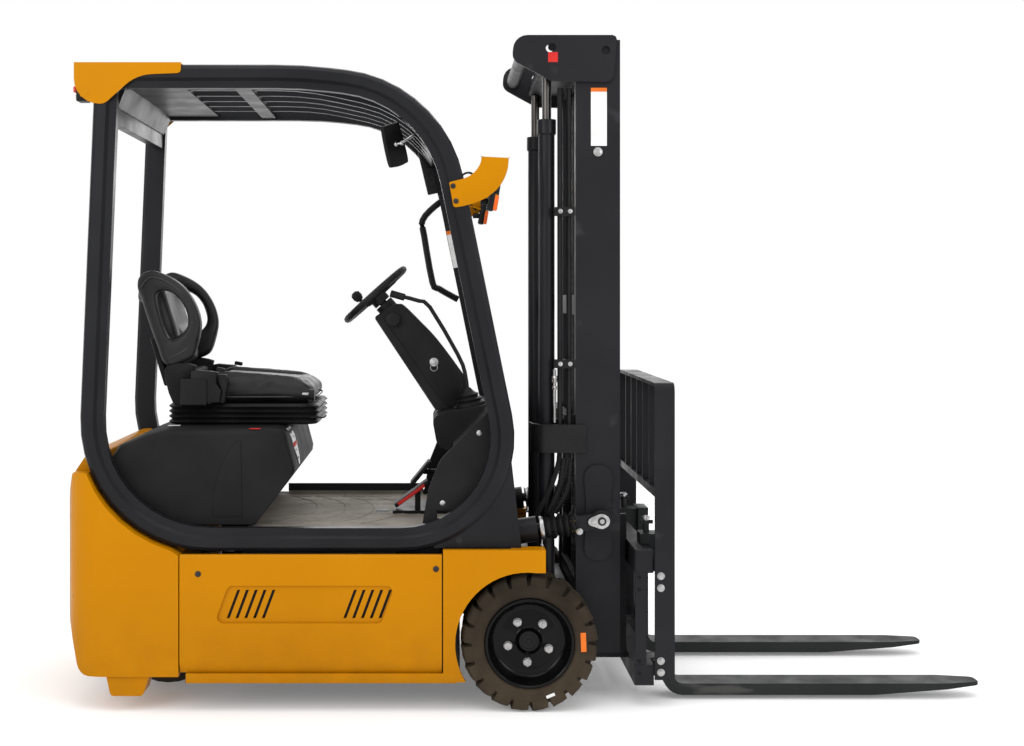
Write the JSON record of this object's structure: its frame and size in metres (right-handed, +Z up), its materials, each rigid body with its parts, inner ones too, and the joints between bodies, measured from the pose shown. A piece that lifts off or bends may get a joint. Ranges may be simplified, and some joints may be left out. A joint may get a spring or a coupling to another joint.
{
  "type": "three-wheel counterbalance forklift",
  "caption": "Electric three-wheel counterbalance forklift: yellow body, black overhead guard, seat, tilting two-stage mast with a load backrest and forks.",
  "frame": {"origin": "on the floor, under the middle of the machine's bounding box; the drive axle's station", "axes": "+X towards the fork tips, +Y to the driver's left, +Z up"},
  "size_m": [3.15, 1.07, 2.3],
  "materials": {
    "yellow_paint": "glossy",
    "black_paint": "satin",
    "black_plastic": "matte",
    "black_vinyl": "satin",
    "tyre_rubber": "matte",
    "hose_rubber": "matte",
    "rim_paint": "glossy",
    "cast_yellow": "glossy",
    "steel": "polished",
    "floor_rubber": "matte",
    "battery_case": "matte"
  },
  "bodies": {
    "chassis": {"chassis_frame": "black_paint", "counterweight": "cast_yellow", "right_side_panel": "yellow_paint", "left_side_panel": "yellow_paint", "right_front_fender": "yellow_paint", "left_front_fender": "yellow_paint", "drive_axle": "black_paint", "battery_block": "battery_case", "floor_mat": "floor_rubber", "dash_cowl": "black_plastic", "steering_column": "black_plastic", "control_lever": "black_plastic", "foot_pedals": "black_plastic", "right_guard_frame": "black_paint", "left_guard_frame": "black_paint", "guard_roof": "black_paint", "right_roof_cap": "yellow_paint", "left_roof_cap": "yellow_paint", "right_front_light": "yellow_paint", "left_front_light": "yellow_paint", "grab_handle": "black_plastic", "rear_view_mirror": "black_plastic"},
    "hood": {"battery_hood": "black_plastic", "seat_base": "black_plastic", "seat_cushion": "black_vinyl", "seat_backrest": "black_vinyl"},
    "hand_wheel": {"steering_wheel": "black_plastic"},
    "rear_carrier": {"rear_steer_yoke": "black_paint"},
    "rear_twin_wheel": {"rear_wheel_hub": "rim_paint", "right_rear_tyre": "tyre_rubber", "left_rear_tyre": "tyre_rubber"},
    "right_front_wheel": {"right_front_tyre": "tyre_rubber", "right_front_rim": "rim_paint"},
    "left_front_wheel": {"left_front_tyre": "tyre_rubber", "left_front_rim": "rim_paint"},
    "mast": {"outer_mast": "black_paint", "right_lift_cylinder": "black_paint", "left_lift_cylinder": "black_paint", "mast_hoses": "hose_rubber"},
    "mast_stage": {"inner_mast": "black_paint", "right_lift_rod": "steel", "left_lift_rod": "steel"},
    "carriage": {"fork_carriage": "black_paint", "load_backrest": "black_paint", "right_fork": "black_paint", "left_fork": "black_paint"},
    "right_tilt_barrel": {"right_tilt_cylinder": "black_paint"},
    "left_tilt_barrel": {"left_tilt_cylinder": "black_paint"},
    "right_tilt_piston": {"right_tilt_rod": "steel", "right_tilt_boot": "hose_rubber"},
    "left_tilt_piston": {"left_tilt_rod": "steel", "left_tilt_boot": "hose_rubber"}
  },
  "joints": [
    {"name": "right_front_wheel_spin", "type": "hinge", "parent": "chassis", "child": "right_front_wheel", "pos_m": [0, -0.45, 0.229], "axis": [0, 1, 0], "continuous": true},
    {"name": "left_front_wheel_spin", "type": "hinge", "parent": "chassis", "child": "left_front_wheel", "pos_m": [0, 0.45, 0.229], "axis": [0, 1, 0], "continuous": true},
    {"name": "rear_steer", "type": "hinge", "parent": "chassis", "child": "rear_carrier", "pos_m": [-1.28, 0, 0.4], "axis": [0, 0, 1], "range_deg": [-90, 90]},
    {"name": "rear_wheel_spin", "type": "hinge", "parent": "rear_carrier", "child": "rear_twin_wheel", "pos_m": [-1.28, 0, 0.19], "axis": [0, 1, 0], "continuous": true},
    {"name": "hand_wheel_turn", "type": "hinge", "parent": "chassis", "child": "hand_wheel", "pos_m": [-0.5376, 0, 1.4015], "axis": [-0.6691, 0, 0.7431], "continuous": true},
    {"name": "hood_lift", "type": "hinge", "parent": "chassis", "child": "hood", "pos_m": [-1.425, 0, 0.885], "axis": [0, -1, 0], "range_deg": [0, 55]},
    {"name": "mast_tilt", "type": "hinge", "parent": "chassis", "child": "mast", "pos_m": [0.1, 0, 0.165], "axis": [0, 1, 0], "range_deg": [-5, 3]},
    {"name": "stage_lift", "type": "slide", "parent": "mast", "child": "mast_stage", "axis": [0, 0, 1], "range_m": [0, 1.6]},
    {"name": "carriage_lift", "type": "slide", "parent": "mast_stage", "child": "carriage", "axis": [0, 0, 1], "range_m": [0, 1.6]},
    {"name": "right_tilt_barrel_swing", "type": "hinge", "parent": "chassis", "child": "right_tilt_barrel", "pos_m": [-0.25, -0.4, 0.557], "axis": [0, 1, 0], "range_deg": [-3, 2]},
    {"name": "right_tilt_rod_slide", "type": "slide", "parent": "right_tilt_barrel", "child": "right_tilt_piston", "axis": [0.9909, 0, 0.1344], "range_m": [-0.045, 0.03]},
    {"name": "left_tilt_barrel_swing", "type": "hinge", "parent": "chassis", "child": "left_tilt_barrel", "pos_m": [-0.25, 0.4, 0.557], "axis": [0, 1, 0], "range_deg": [-3, 2]},
    {"name": "left_tilt_rod_slide", "type": "slide", "parent": "left_tilt_barrel", "child": "left_tilt_piston", "axis": [0.9909, 0, 0.1344], "range_m": [-0.045, 0.03]}
  ],
  "couplings": [
    {"joint": "carriage_lift", "follows": "stage_lift", "ratio": 1},
    {"joint": "right_tilt_barrel_swing", "follows": "mast_tilt", "ratio": 0.4211},
    {"joint": "right_tilt_rod_slide", "follows": "mast_tilt", "m_per_rad": 0.4355},
    {"joint": "left_tilt_barrel_swing", "follows": "mast_tilt", "ratio": 0.4211},
    {"joint": "left_tilt_rod_slide", "follows": "mast_tilt", "m_per_rad": 0.4355}
  ]
}
